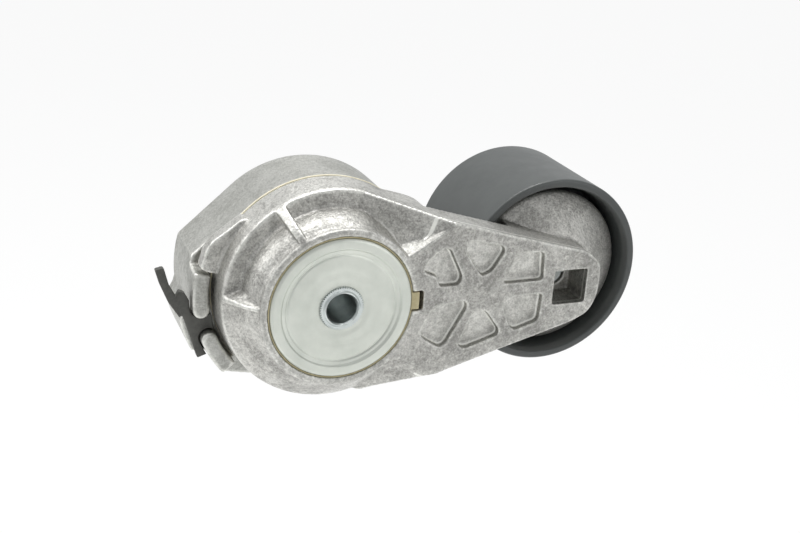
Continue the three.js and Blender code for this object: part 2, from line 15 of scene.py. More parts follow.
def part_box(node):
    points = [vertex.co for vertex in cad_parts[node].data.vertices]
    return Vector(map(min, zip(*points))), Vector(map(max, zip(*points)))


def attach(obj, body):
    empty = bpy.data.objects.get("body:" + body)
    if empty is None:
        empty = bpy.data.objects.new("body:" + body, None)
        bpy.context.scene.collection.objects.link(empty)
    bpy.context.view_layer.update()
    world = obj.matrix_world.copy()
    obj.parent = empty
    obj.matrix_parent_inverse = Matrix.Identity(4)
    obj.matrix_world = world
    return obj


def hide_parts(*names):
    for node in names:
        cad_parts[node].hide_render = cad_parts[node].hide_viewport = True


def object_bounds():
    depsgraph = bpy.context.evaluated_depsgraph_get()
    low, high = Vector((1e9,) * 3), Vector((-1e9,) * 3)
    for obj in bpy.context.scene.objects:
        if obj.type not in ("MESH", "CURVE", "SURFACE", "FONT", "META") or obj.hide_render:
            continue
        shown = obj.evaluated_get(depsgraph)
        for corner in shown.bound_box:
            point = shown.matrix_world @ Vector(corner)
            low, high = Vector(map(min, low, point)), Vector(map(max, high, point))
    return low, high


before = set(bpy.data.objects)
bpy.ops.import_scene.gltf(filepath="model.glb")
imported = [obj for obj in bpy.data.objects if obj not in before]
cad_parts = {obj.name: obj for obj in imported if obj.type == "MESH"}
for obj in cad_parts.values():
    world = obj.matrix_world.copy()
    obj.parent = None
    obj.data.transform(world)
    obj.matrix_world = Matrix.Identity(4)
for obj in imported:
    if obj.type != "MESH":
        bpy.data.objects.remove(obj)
cad_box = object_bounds()
print("CAD box", [round(size * 1000, 1) for size in cad_box[1] - cad_box[0]], "mm")

# %% [markdown]
# ## Where things are
# A turned object is easiest to think of as radii and depths. Depth is counted back from the face of
# the front plate, in millimetres, because that face is what a person looks at. The pivot axis is the
# Y axis, and the pulley's axis is parallel to it; the pulley's place is read from the frame.
# %% Places and the depth scale
MM = 0.001
TINY = 1e-7
pulley_low, pulley_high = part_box("pulley_shell")
pin_low, pin_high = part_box("locating_pin")
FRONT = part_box("front_plate")[0].y
PIVOT = (0.0, 0.0)
PULLEY = ((pulley_low.x + pulley_high.x) / 2 / MM, (pulley_low.z + pulley_high.z) / 2 / MM)
PIN = ((pin_low.x + pin_high.x) / 2 / MM, (pin_low.z + pin_high.z) / 2 / MM)
WEB_FACE = 0.4
WEB_POCKET_DEPTH = 2.8


def at(x, depth, z):
    """A place given in millimetres, with its depth behind the front plate's face."""
    return Vector((x * MM, FRONT + depth * MM, z * MM))


def polar(radius, angle):
    """The (x, z) place at a radius and an angle about the pivot, from +X towards +Z."""
    return radius * math.cos(math.radians(angle)), radius * math.sin(math.radians(angle))


def arc(radius, start, end, steps, centre=PIVOT):
    """Places along an arc, both ends included."""
    turn = (end - start) / steps
    points = [polar(radius, start + turn * i) for i in range(steps + 1)]
    return [(centre[0] + x, centre[1] + z) for x, z in points]


print("pulley axis", [round(v, 2) for v in PULLEY], "mm")

# %% [markdown]
# ## The camera
# The tensioner is seen from its upper left, and the camera leans a little, so the arm seems to run
# slightly downhill. The camera comes first, because everything else is judged through it.
# %% Camera
AZIMUTH = math.radians(-22.791)
ELEVATION = math.radians(21.621)
LEAN = math.radians(3.897)
DISTANCE = 0.407712
TARGET = Vector((0.019631, -0.062, 0.013762))

back = Vector((
    math.sin(AZIMUTH) * math.cos(ELEVATION),
    -math.cos(AZIMUTH) * math.cos(ELEVATION),
    math.sin(ELEVATION),
))
level = Vector((math.cos(AZIMUTH), math.sin(AZIMUTH), 0))
upright = back.cross(level)
right = math.cos(LEAN) * level + math.sin(LEAN) * upright
up = math.cos(LEAN) * upright - math.sin(LEAN) * level

camera = bpy.data.objects.new("camera", bpy.data.cameras.new("camera"))
camera.data.lens = 54.83
camera.data.sensor_width = 36
camera.data.clip_start = 0.01
camera.matrix_world = Matrix.Translation(TARGET + back * DISTANCE) @ Matrix(
    (right, up, back)
).transposed().to_4x4()
bpy.context.scene.collection.objects.link(camera)
bpy.context.scene.camera = camera
print("camera", round(DISTANCE * 1000), "mm from the plate")

# %% [markdown]
# ## Three ways to shape a piece
# Most pieces here were turned on a lathe, so they are a profile spun about an axis. The rest are
# outlines pushed back into slabs. A corner of a profile or an outline may carry a third number: the
# reach of its rounding. Real parts have no knife edges, and a rounded edge is what catches the light.
# %% Drawing with soft corners
ROUNDING_STEPS, EDGE_STEPS = 4, 3


def soften(bm, geom, reach, segments, affect="EDGES", **settings):
    """Rounds some edges or corners of bm, with a reach in millimetres."""
    bmesh.ops.bevel(bm, geom=geom, offset=reach * MM, segments=segments, affect=affect,
                    profile=0.5, material=-1, **settings)


def draw_face(bm, corners):
    """A flat face through (place, softness) corners, each soft one rounded to an arc."""
    made = [(bm.verts.new(place), softness) for place, softness in corners]
    bm.faces.new([corner for corner, softness in made])
    for corner, softness in made:
        if softness:
            soften(bm, [corner], softness, ROUNDING_STEPS, "VERTICES")


def outward(bm):
    bmesh.ops.remove_doubles(bm, verts=bm.verts[:], dist=TINY)
    bmesh.ops.recalc_face_normals(bm, faces=bm.faces[:])
    return bm


# %% Turning
def profile_face(profile, centre):
    """A bmesh that holds one closed profile of (radius, depth[, softness]) corners."""
    bm = bmesh.new()
    corners = []
    for radius, depth, *softness in profile:
        place = at(centre[0] + radius, depth, centre[1])
        corners.append((place, softness[0] if softness else 0))
    draw_face(bm, corners)
    return bm


def turned(profile, centre=PIVOT, steps=160):
    """A profile spun once round an axis parallel to Y."""
    bm = profile_face(profile, centre)
    bmesh.ops.delete(bm, geom=bm.faces[:], context="FACES_ONLY")
    axis = at(centre[0], 0, centre[1])
    on_axis = [e for e in bm.edges if all(abs(v.co.x - axis.x) < TINY for v in e.verts)]
    bmesh.ops.delete(bm, geom=on_axis, context="EDGES")
    bmesh.ops.spin(bm, geom=bm.verts[:] + bm.edges[:], cent=axis, axis=(0, -1, 0),
                   angle=math.tau, steps=steps, use_merge=True)
    return outward(bm)


def rod(radius, front, rear, centre=PIVOT, steps=160):
    """A plain round bar between two depths."""
    return turned([(0, front), (radius, front), (radius, rear), (0, rear)], centre, steps)


def swept(profile, start, end, steps):
    """A profile spun about the pivot from one angle to another, with closed ends."""
    bm = profile_face(profile, PIVOT)
    origin = Vector((0, 0, 0))
    turn = Matrix.Rotation(math.radians(-start), 3, "Y")
    bmesh.ops.rotate(bm, verts=bm.verts[:], cent=origin, matrix=turn)
    bmesh.ops.spin(bm, geom=bm.verts[:] + bm.edges[:] + bm.faces[:], cent=origin,
                   axis=(0, -1, 0), angle=math.radians(end - start), steps=steps)
    return outward(bm)


def wound(bm, centre, turns, pitch, steps=40):
    """Whatever face bm holds, wound into a helix about an axis parallel to Y."""
    count = round(turns * steps)
    bmesh.ops.spin(bm, geom=bm.verts[:] + bm.edges[:] + bm.faces[:],
                   cent=at(centre[0], 0, centre[1]), axis=(0, -1, 0), angle=math.tau * turns,
                   dvec=(0, turns * pitch * MM / count, 0), steps=count)
    return outward(bm)


# %% Slabs
def push(bm, move):
    """Pushes the flat face that bm holds along a vector in metres, into a closed solid."""
    pushed = bmesh.ops.extrude_face_region(bm, geom=bm.faces[:])["geom"]
    verts = [part for part in pushed if isinstance(part, bmesh.types.BMVert)]
    bmesh.ops.translate(bm, verts=verts, vec=move)
    return outward(bm)


def slab(outline, front, rear, softness=0.0, front_edge=0.0, rear_edge=0.0):
    """An (x, z[, softness]) outline pushed back from one depth to another."""
    bm = bmesh.new()
    corners = [(at(x, front, z), own[0] if own else softness) for x, z, *own in outline]
    draw_face(bm, corners)
    push(bm, (0, (rear - front) * MM, 0))
    for depth, reach in ((front, front_edge), (rear, rear_edge)):
        if reach:
            level_y = at(0, depth, 0).y
            rim = [e for e in bm.edges if all(abs(v.co.y - level_y) < TINY for v in e.verts)]
            soften(bm, rim, reach, EDGE_STEPS, clamp_overlap=True)
    return outward(bm)


def block(low, high, edge=0.0):
    """A box between two (x, depth, z) corners, with its edges eased."""
    bm = bmesh.new()
    first, last = at(*low), at(*high)
    bmesh.ops.create_cube(bm, size=1)
    bmesh.ops.scale(bm, verts=bm.verts[:], vec=last - first)
    bmesh.ops.translate(bm, verts=bm.verts[:], vec=(first + last) / 2)
    if edge:
        soften(bm, bm.edges[:], edge, EDGE_STEPS)
    return outward(bm)


print("drawing helpers ready")

# %% [markdown]
# ## Joining, cutting and casting
# A casting is one lump of metal with no seam between its hub, web and ribs, and every inside corner
# has a fillet. Here the lump is put together from simple closed solids with booleans. Then a voxel
# remesh turns it into one even skin, and a few rounds of smoothing pull all its edges and corners
# into small fillets, which is just what molten metal does in a mould.
# %% Objects from meshes
def piece_of(name, bm):
    mesh = bpy.data.meshes.new(name)
    bm.to_mesh(mesh)
    bm.free()
    piece = bpy.data.objects.new(name, mesh)
    bpy.context.scene.collection.objects.link(piece)
    return piece


def settle(piece):
    """Makes the result of the piece's modifiers its own mesh."""
    depsgraph = bpy.context.evaluated_depsgraph_get()
    mesh = bpy.data.meshes.new_from_object(piece.evaluated_get(depsgraph))
    piece.modifiers.clear()
    old, piece.data = piece.data, mesh
    bpy.data.meshes.remove(old)
    mesh.name = piece.name
    return piece


def discard(piece):
    mesh = piece.data
    bpy.data.objects.remove(piece)
    bpy.data.meshes.remove(mesh)


def combine(piece, other_bm, operation):
    other = piece_of("other", other_bm)
    boolean = piece.modifiers.new(operation, "BOOLEAN")
    boolean.operation = operation
    boolean.solver = "MANIFOLD"
    boolean.object = other
    settle(piece)
    discard(other)
    return piece


def joined(piece, *solids):
    for bm in solids:
        combine(piece, bm, "UNION")
    return piece


def carved(piece, *solids):
    for bm in solids:
        combine(piece, bm, "DIFFERENCE")
    return piece


def as_bmesh(piece):
    """Takes a piece apart again, back to a bmesh for the next join or cut."""
    bm = bmesh.new()
    bm.from_mesh(piece.data)
    discard(piece)
    return bm


# %% Casting
MOST_TRIANGLES = 185000


def cast_skin(piece, grid, rounds, shape=None):
    """Recasts a piece as one even skin on a grid in millimetres, and eases its edges."""
    remesh = piece.modifiers.new("skin", "REMESH")
    remesh.mode = "VOXEL"
    remesh.voxel_size = grid * MM
    settle(piece)
    if shape:
        press(piece, shape)
    ease = piece.modifiers.new("ease", "SMOOTH")
    ease.factor = 0.5
    ease.iterations = rounds
    settle(piece)
    triangles = len(piece.data.polygons) * 2
    if triangles > MOST_TRIANGLES:
        thin = piece.modifiers.new("thin", "DECIMATE")
        thin.ratio = MOST_TRIANGLES / triangles
        settle(piece)
    mark_edges(piece)
    print(piece.name, "cast with", len(piece.data.polygons), "faces")
    return piece


def vertex_vectors(mesh, kind):
    """One row for each vertex: its place ("co") or its normal ("normal")."""
    values = np.zeros(len(mesh.vertices) * 3)
    mesh.vertices.foreach_get(kind, values)
    return values.reshape(-1, 3)


def press(piece, shape):
    """Moves the surface along the depth axis by what shape says for each vertex, in millimetres."""
    mesh = piece.data
    places = vertex_vectors(mesh, "co")
    x, z = places[:, 0] / MM, places[:, 2] / MM
    depth = (places[:, 1] - FRONT) / MM
    places[:, 1] += shape(np.hypot(x, z), np.degrees(np.arctan2(z, x)) % 360, depth) * MM
    mesh.vertices.foreach_set("co", places.ravel())
    mesh.update()


def smooth_step(value, low, high):
    share = np.clip((value - low) / (high - low), 0, 1)
    return share * share * (3 - 2 * share)


# %% [markdown]
# Handling rubs the high edges of a casting bright, and its hollows are darkened with a little painted
# shade. A material can't know where the edges are, so the mesh tells it: for each vertex this
# measures how far the surface bends away from its neighbours, and stores it as an attribute. Positive
# is an edge, negative is a hollow.
# %% Marking edges and hollows
def mark_edges(piece, rounds=2):
    mesh = piece.data
    count = len(mesh.vertices)
    places, normals = vertex_vectors(mesh, "co"), vertex_vectors(mesh, "normal")
    ends = np.zeros(len(mesh.edges) * 2, int)
    mesh.edges.foreach_get("vertices", ends)
    a, b = ends.reshape(-1, 2).T
    away = places[a] - places[b]
    away /= np.linalg.norm(away, axis=1, keepdims=True) + 1e-12
    links = np.bincount(a, minlength=count) + np.bincount(b, minlength=count)
    bend = np.bincount(a, (away * normals[a]).sum(1), count)
    bend -= np.bincount(b, (away * normals[b]).sum(1), count)
    bend /= np.maximum(links, 1)
    for _ in range(rounds):
        near = np.bincount(a, bend[b], count) + np.bincount(b, bend[a], count)
        bend = 0.5 * bend + 0.5 * near / np.maximum(links, 1)
    attribute = mesh.attributes.new("bend", "FLOAT", "POINT")
    attribute.data.foreach_set("value", bend.astype(np.float32))


print("casting helpers ready")

# %% [markdown]
# ## Effects that several finishes share
# Each effect is a node group, built once. `skin` gives a surface its cloudy colour, fine grain and
# relief. The group for worn edges turns the bend of the surface into broken bright edges, and also
# into a mask of the hollows, where shade is painted. `lathe_lines` draws the fine rings that a
# cutting tool leaves. A finish then mixes them with its own numbers.
# %% Node helpers
def fill(tree, made, inputs):
    """Gives a node's inputs their values or links."""
    for key, value in inputs.items():
        if isinstance(value, bpy.types.NodeSocket):
            tree.links.new(value, made.inputs[key])
        else:
            made.inputs[key].default_value = value
    return made


def add(tree, kind, inputs=(), **settings):
    """Adds a shader node, sets its settings and fills its inputs."""
    made = tree.nodes.new("ShaderNode" + kind)
    for key, value in settings.items():
        setattr(made, key, value)
    return fill(tree, made, dict(inputs))


def maths(tree, operation, first, second=0.0, clamp=False):
    return add(tree, "Math", {0: first, 1: second}, operation=operation,
               use_clamp=clamp).outputs[0]


def times(tree, first, second):
    return maths(tree, "MULTIPLY", first, second)


def blend_colour(tree, share, first, second):
    mix = add(tree, "Mix", {0: share, 6: first, 7: second}, data_type="RGBA")
    return mix.outputs[2]


def spread(tree, value, low, high, to_low=0.0, to_high=1.0):
    """Stretches a value from one range to another, and clamps it."""
    return add(tree, "MapRange", {
        0: value, 1: low, 2: high, 3: to_low, 4: to_high,
    }).outputs[0]


def noise(tree, place, scale, detail=3.0, roughness=0.6, distortion=0.0):
    return add(tree, "TexNoise", {
        "Vector": place, "Scale": scale, "Detail": detail, "Roughness": roughness,
        "Distortion": distortion,
    }).outputs["Fac"]


def new_group(name, inputs, outputs):
    tree = bpy.data.node_groups.new(name, "ShaderNodeTree")
    for title, kind, value in inputs:
        socket = tree.interface.new_socket(title, in_out="INPUT", socket_type=kind)
        if value is not None:
            socket.default_value = value
    for title, kind in outputs:
        tree.interface.new_socket(title, in_out="OUTPUT", socket_type=kind)
    return tree, tree.nodes.new("NodeGroupInput").outputs, tree.nodes.new("NodeGroupOutput")


VALUE, COLOUR, VECTOR = "NodeSocketFloat", "NodeSocketColor", "NodeSocketVector"


# %% The skin of a metal or plastic part
def skin_group():
    tree, given, out = new_group("skin", [
        ("Place", VECTOR, None), ("Light", COLOUR, None), ("Dark", COLOUR, None),
        ("Clouds", VALUE, 60.0), ("Grain", VALUE, 1400.0), ("Speckle", VALUE, 0.2),
    ], [("Colour", COLOUR), ("Cloud", VALUE), ("Relief", VALUE)])
    wide = noise(tree, given["Place"], given["Clouds"], 4.0, 0.62, 0.4)
    fine_scale = times(tree, given["Clouds"], 6.5)
    fine = noise(tree, given["Place"], fine_scale, 3.0, 0.6)
    cloud = spread(tree, maths(tree, "ADD", times(tree, wide, 0.6),
                               times(tree, fine, 0.4)), 0.36, 0.64)
    grain = noise(tree, given["Place"], given["Grain"], 2.0, 0.7)
    dots = times(tree, spread(tree, grain, 0.3, 0.7, -0.5, 0.5), given["Speckle"])
    share = maths(tree, "ADD", cloud, dots, clamp=True)
    colour = blend_colour(tree, share, given["Dark"], given["Light"])
    pits = add(tree, "TexVoronoi", {
        "Vector": given["Place"], "Scale": times(tree, given["Grain"], 0.6),
    }, feature="SMOOTH_F1").outputs["Distance"]
    relief = maths(tree, "ADD", times(tree, grain, 0.7),
                   times(tree, pits, 0.5))
    fill(tree, out, {"Colour": colour, "Cloud": cloud, "Relief": relief})
    return tree


SKIN = skin_group()


# %% Worn edges and painted shade in hollows
def wear_and_hollow_shade_group():
    tree, given, out = new_group("wear_and_hollow_shade", [
        ("Place", VECTOR, None), ("Bend", VALUE, 0.0), ("Start", VALUE, 0.05), ("Full", VALUE, 0.2),
    ], [("Worn", VALUE), ("Hollow", VALUE)])
    broken = spread(tree, noise(tree, given["Place"], 420.0, 4.0, 0.7), 0.3, 0.7, 0.45, 1.25)
    bend = times(tree, given["Bend"], broken)
    wear_and_highlight = spread(tree, bend, given["Start"], given["Full"])
    # The hollow mask is for painted shade: the finishes darken the hollows with it.
    sunk = times(tree, given["Bend"], -1.0)
    hollow = spread(tree, sunk, given["Start"], given["Full"])
    fill(tree, out, {"Worn": wear_and_highlight, "Hollow": hollow})
    return tree


WEAR_AND_HOLLOW_SHADE = wear_and_hollow_shade_group()


# %% Rings from the lathe
def lathe_lines_group():
    tree, given, out = new_group("lathe_lines", [
        ("Place", VECTOR, None), ("Fineness", VALUE, 3000.0), ("Unevenness", VALUE, 40.0),
    ], [("Line", VALUE)])
    axes = add(tree, "SeparateXYZ", {0: given["Place"]}).outputs
    across = maths(tree, "POWER", axes["X"], 2.0)
    height = maths(tree, "POWER", axes["Z"], 2.0)
    radius = maths(tree, "SQRT", maths(tree, "ADD", across, height))
    path = maths(tree, "ADD", radius, axes["Y"])
    line = add(tree, "TexNoise", {
        "W": path, "Scale": given["Fineness"], "Detail": 3.0, "Roughness": 0.75,
    }, noise_dimensions="1D").outputs["Fac"]
    uneven = noise(tree, given["Place"], given["Unevenness"], 2.0)
    fill(tree, out, {"Line": times(tree, line, uneven)})
    return tree


LATHE_LINES = lathe_lines_group()
print("effects:", [group.name for group in bpy.data.node_groups])

# %% [markdown]
# ## A finish from its effects
# Every finish below starts the same way: object coordinates, moved to the piece's own axis, feed the
# skin and the lathe lines. They end the same way too: colour, roughness and relief go into the
# Principled shader, which stays in the material itself.
# %% The base of a finish
def use_group(tree, group, **inputs):
    made = tree.nodes.new("ShaderNodeGroup")
    made.node_tree = group
    return fill(tree, made, inputs).outputs


def tone(red, green, blue):
    """A colour given as it looks, from 11 to 255, as the linear colour that a shader wants."""
    return (*[((c / 255 + 0.055) / 1.055) ** 2.4 for c in (red, green, blue)], 1.0)


def start_finish(name, metallic, light, dark, centre=PIVOT, clouds=45.0, grain=1800.0, speckle=0.1):
    """A new material with the skin effect in it, laid about the piece's own axis."""
    material = bpy.data.materials.new(name)
    material.use_nodes = True
    tree = material.node_tree
    shader = tree.nodes["Principled BSDF"]
    shader.inputs["Metallic"].default_value = metallic
    where = add(tree, "TexCoord").outputs["Object"]
    place = add(tree, "Mapping", {
        "Vector": where, "Location": (-centre[0] * MM, 0, -centre[1] * MM),
    }).outputs[0]
    skin = use_group(tree, SKIN, Place=place, Light=light, Dark=dark, Clouds=clouds, Grain=grain,
                     Speckle=speckle)
    return material, tree, place, skin


def end_finish(material, colour, cloud, dull, smooth, height, reach, strength=1.0):
    """Feeds the shader: its colour, its roughness from dull to smooth, and relief of some mm."""
    tree = material.node_tree
    bump = add(tree, "Bump", {
        "Height": height, "Distance": reach * MM, "Strength": strength,
    }).outputs[0]
    rough = spread(tree, cloud, 0.0, 1.0, dull, smooth)
    fill(tree, tree.nodes["Principled BSDF"], {
        "Base Color": colour, "Roughness": rough, "Normal": bump,
    })
    return material


# %% [markdown]
# ## Cast aluminium
# Die-cast aluminium is a light, slightly warm grey. It is cloudy where the metal met the mould, and
# shot blasting leaves it evenly rough, like fine sand. Its edges are rubbed bright, and its hollows
# get a little painted shade. The flat face of the web is darker and more scuffed than the floors of
# its pockets. Masks taken from the depth of the surface lay a second, coarser cloud over that face,
# paint light onto the floors to lighten them a little, and paint a bright highlight along the foot of
# each pocket's wall.
# %% Cast aluminium finish
def cast_finish(name, light, dark, wear_and_highlight, web_face=None):
    material, tree, place, skin = start_finish(name, 1.0, light, dark, PIVOT, 90.0, 1500.0, 0.9)
    bend = add(tree, "Attribute", attribute_name="bend").outputs["Fac"]
    wear_and_shade_masks = use_group(tree, WEAR_AND_HOLLOW_SHADE, Place=place, Bend=bend, Start=0.02, Full=0.12)
    # A darker tone: for the scuffs on the web's face, and for the painted shade in hollows.
    scuff_and_shade_tone = tuple(c * 0.72 for c in dark[:3]) + (1.0,)

    def tinted(colour, mask, strength, tint):
        return blend_colour(tree, times(tree, mask, strength), colour, tint)

    colour = tinted(skin["Colour"], wear_and_shade_masks["Worn"], 0.85, wear_and_highlight)
    # Painted shade: the hollows are darkened a little towards the darker tone.
    colour = tinted(colour, wear_and_shade_masks["Hollow"], 0.1, scuff_and_shade_tone)
    if web_face is not None:
        axes = add(tree, "SeparateXYZ", {0: place}).outputs
        face_y = at(0, web_face, 0).y

        def by_depth(none, full):
            """A mask that grows from none to full between two depths behind the web's face."""
            return spread(tree, axes["Y"], face_y + none * MM, face_y + full * MM)

        scuffs = spread(tree, noise(tree, place, 520.0, 5.0, 0.78, 1.2), 0.38, 0.62)
        scuffs = times(tree, scuffs, 0.55)
        colour = tinted(colour, by_depth(0.9, 0.3), scuffs, scuff_and_shade_tone)
        deep = WEB_POCKET_DEPTH
        on_web = spread(tree, axes["X"], 28.5 * MM, 29 * MM)
        in_pocket = times(tree, on_web, by_depth(deep + 0.5, deep + 0.3))
        floor = times(tree, in_pocket, by_depth(deep - 0.22, deep - 0.12))
        foot = times(tree, in_pocket, by_depth(deep - 0.75, deep - 0.6))
        foot = maths(tree, "SUBTRACT", foot, floor, clamp=True)
        # Painted light: the pocket floors are lightened a little, and a thin painted highlight runs
        # along the foot of each wall.
        colour = tinted(colour, floor, 0.15, wear_and_highlight)
        colour = tinted(colour, foot, 0.9, wear_and_highlight)
    return end_finish(material, colour, skin["Cloud"], 0.56, 0.42, skin["Relief"], 0.24, 0.9)


# The last tone brightens rubbed edges, and also paints the light on the pocket floors and the
# highlight at the foot of their walls.
ARM_FINISH = cast_finish("cast_aluminium_arm", tone(210, 209, 204), tone(152, 151, 147),
                         tone(246, 246, 240), web_face=WEB_FACE)
CASE_FINISH = cast_finish("cast_aluminium_case", tone(196, 196, 191), tone(158, 158, 153),
                          tone(232, 232, 226))
print("finish", ARM_FINISH.name, "and", CASE_FINISH.name)


# %% [markdown]
# ## Plated, bare and oiled steel
# The front plate and the pivot tube are zinc plated: pale, a little green, with soft stains. The
# bearing steel is bright, and the bolt and the spring are darker. All of them are the same recipe
# with different numbers.
# %% Steel finishes
def steel_finish(name, light, dark, roughness, centre=PIVOT, clouds=45.0, lines=0.0, speckle=0.1):
    material, tree, place, skin = start_finish(name, 1.0, light, dark, centre, clouds,
                                               speckle=speckle)
    colour, height = skin["Colour"], skin["Relief"]
    if lines:
        rings = use_group(tree, LATHE_LINES, Place=place, Fineness=2600.0)["Line"]
        colour = blend_colour(tree, times(tree, rings, lines), colour, dark)
        height = maths(tree, "ADD", height, times(tree, rings, lines * 2))
    return end_finish(material, colour, skin["Cloud"], roughness * 1.25, roughness * 0.85, height,
                      0.03)


PLATE_FINISH = steel_finish("zinc_plate", tone(216, 219, 211), tone(206, 210, 202), 0.42,
                            clouds=25.0, lines=0.06)
ZINC_FINISH = steel_finish("zinc_steel", tone(222, 227, 224), tone(190, 197, 197), 0.34, lines=0.25)
BRIGHT_FINISH = steel_finish("bright_steel", tone(205, 206, 208), tone(176, 178, 181), 0.22,
                             PULLEY, lines=0.3)
BOLT_FINISH = steel_finish("bolt_steel", tone(150, 150, 146), tone(108, 108, 106), 0.4, PULLEY,
                           lines=0.2, speckle=0.3)
SPRING_FINISH = steel_finish("spring_steel", tone(92, 92, 90), tone(62, 62, 60), 0.42, speckle=0.3)
CAGE_FINISH = steel_finish("cage_steel", tone(186, 180, 166), tone(150, 144, 130), 0.4, PULLEY)
print("steel finishes ready")


# %% [markdown]
# ## Coated, moulded and rubber finishes
# The pulley wears a satin dark grey coat over turned steel, so the lathe's rings show through it very
# faintly. The clip is dull black steel. The nylon pieces are dull, warm and slightly stained by
# grease.
# %% Coats and plastics
def coat_finish(name, light, dark, roughness, centre=PIVOT, clouds=40.0, relief=0.03, lines=0.0,
                speckle=0.15):
    material, tree, place, skin = start_finish(name, 0.0, light, dark, centre, clouds, 1600.0,
                                               speckle)
    height = skin["Relief"]
    if lines:
        rings = use_group(tree, LATHE_LINES, Place=place, Fineness=1500.0)["Line"]
        height = maths(tree, "ADD", height, times(tree, rings, lines))
    return end_finish(material, skin["Colour"], skin["Cloud"], roughness * 1.15, roughness * 0.9,
                      height, relief)


COAT_FINISH = coat_finish("pulley_coat", tone(76, 79, 78), tone(70, 73, 72), 0.36, PULLEY,
                          clouds=25.0, lines=0.8, relief=0.02)
CREAM_FINISH = coat_finish("cream_nylon", tone(226, 220, 197), tone(202, 194, 168), 0.5)
BEIGE_FINISH = coat_finish("beige_nylon", tone(200, 190, 152), tone(172, 161, 124), 0.55,
                           clouds=120.0)
SEAL_FINISH = coat_finish("seal_rubber", tone(52, 46, 41), tone(34, 30, 27), 0.6, PULLEY)
CLIP_FINISH = coat_finish("black_steel", tone(82, 82, 77), tone(64, 64, 60), 0.5, clouds=90.0,
                          relief=0.05, speckle=0.3)
print("coats and plastics ready")

# %% [markdown]
# ## Dressing a piece
# A finished piece is told which body it moves with, which imported nodes it stands for, and which
# material it wears. A weighted normal keeps the flat faces of turned pieces flat beside their small
# rounded edges.
# %% Dressing
SHARP = math.radians(40)


def dress(piece, body, material, slot, *nodes, sharp=True):
    mesh = piece.data
    mesh.materials.clear()
    mesh.materials.append(material)
    mesh.shade_smooth()
    if sharp:
        mesh.set_sharp_from_angle(angle=SHARP)
        piece.modifiers.new("flat faces", "WEIGHTED_NORMAL").keep_sharp = True
    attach(piece, body)
    if nodes:
        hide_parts(*nodes)
    print(piece.name, "rides on", body)
    return piece


# %% [markdown]
# ## The arm: hub
# The hub is a cup that faces backwards. In front it has a flat collar round the plate, a cone down to
# the front rim and a long skirt back to the spring case. Inside, a tube turns on the pivot. All of it
# is round, so it is one profile spun about the pivot, with soft corners where the casting has them.
# %% Arm hub
HUB_PROFILE = [
    (25.6, 4.6), (25.6, 0, 0.2), (28.0, 0.1, 0.35), (28.4, 1.7, 0.6), (36.8, 11.0, 1.0),
    (38.2, 12.8, 0.9), (39.0, 25, 0.3), (35, 25), (34.6, 16.8), (29, 16.2), (26.6, 10.2), (16, 9),
    (14.5, 11), (14.5, 45.5), (10.8, 45.5), (10.8, 4.6),
]
arm = piece_of("cast_arm", turned(HUB_PROFILE, steps=200))

# %% [markdown]
# ## The arm: web
# The web is a flat plate that runs out to the pulley and narrows on the way. Next to the hub a deeper
# shoulder carries the load round the skirt. Above and below the collar the flat face falls away to
# the hub's rim. The space over each fall is a profile pushed along the ridge where the fall starts.
# Above, a steep wall at the ridge meets a gentler slope that runs at another angle, so the space is
# what the two have in common. Below, one profile is enough.
# %% Ramps
SLOPE_RUN_IN, SLOPE_LENGTH = 30, 90
RIDGE = [(38.8, 26.4), (25.0, 17.6)]
SLOPE_FOOT = [(38.8, 26.8), (35.5, 17.3)]
LOWER_RIDGE = [(35.8, 28.5), (21.8, 20.6)]
WALL_PROFILE = [(0, WEB_FACE, 0.5), (4.6, 8), (6.5, 14), (60, 14), (60, -6), (0, -6)]
SLOPE_PROFILE = [(0, WEB_FACE), (31.6, 12.6), (60, 23.6), (60, -6), (0, -6)]
LOWER_PROFILE = [(0, WEB_FACE), (3.8, 3.0, 1.5), (21, 12.6), (42, 24.8), (42, -6), (0, -6)]


def slope(line, profile):
    """The space over a slope: a profile drawn square to a line and pushed along it."""
    (start_x, start_z), (end_x, end_z) = line
    along = Vector((end_x - start_x, 0, end_z - start_z)).normalized()
    away = Vector((along.z, 0, -along.x))
    start = at(start_x, 0, start_z) - along * SLOPE_RUN_IN * MM
    bm = bmesh.new()
    corners = []
    for distance, depth, *softness in profile:
        place = start + away * distance * MM + Vector((0, depth * MM, 0))
        corners.append((place, softness[0] if softness else 0))
    draw_face(bm, corners)
    return push(bm, along * SLOPE_LENGTH * MM)


def ramp_room():
    """The space over the upper ramp: past the wall at the ridge and in front of the slope."""
    room = piece_of("ramp_room", slope(RIDGE, WALL_PROFILE))
    combine(room, slope(SLOPE_FOOT, SLOPE_PROFILE), "INTERSECT")
    return as_bmesh(room)


lower_room = slope(LOWER_RIDGE, LOWER_PROFILE)
bmesh.ops.scale(lower_room, verts=lower_room.verts[:], vec=(1, 1, -1))
outward(lower_room)


# %% Web and shoulder
WEB_OUTLINE = [
    (9, 37), (37.6, 28.2), (60, 21.8), (92.5, 13), (98.2, 8), (98.6, 0), (97.8, -6), (95, -11),
    (88, -14.2), (60, -22), (39, -28), (15.8, -35.9, 1), (12, -37.7, 1), (9, -36.8),
]
SHOULDER_OUTLINE = [
    (8, 37), (20, 33.4), (27, 31.4), (31.5, 29.9), (34.5, 28.2), (39.5, 22.5), (43.5, 12), (44.5, 0),
    (43.5, -12), (39.5, -22.5), (34.5, -28.2), (31.5, -29.9), (27, -31.4), (20, -33.4), (8, -37),
]
web = piece_of("web", slab(WEB_OUTLINE, WEB_FACE, 14, softness=2.2, front_edge=0.8))
carved(web, rod(25.6, -2, 16.5), ramp_room(), lower_room)
shoulder = piece_of("shoulder", slab(SHOULDER_OUTLINE, 12.6, 25, softness=2))
carved(shoulder, rod(34.8, -2, 40))
joined(arm, as_bmesh(web), as_bmesh(shoulder))
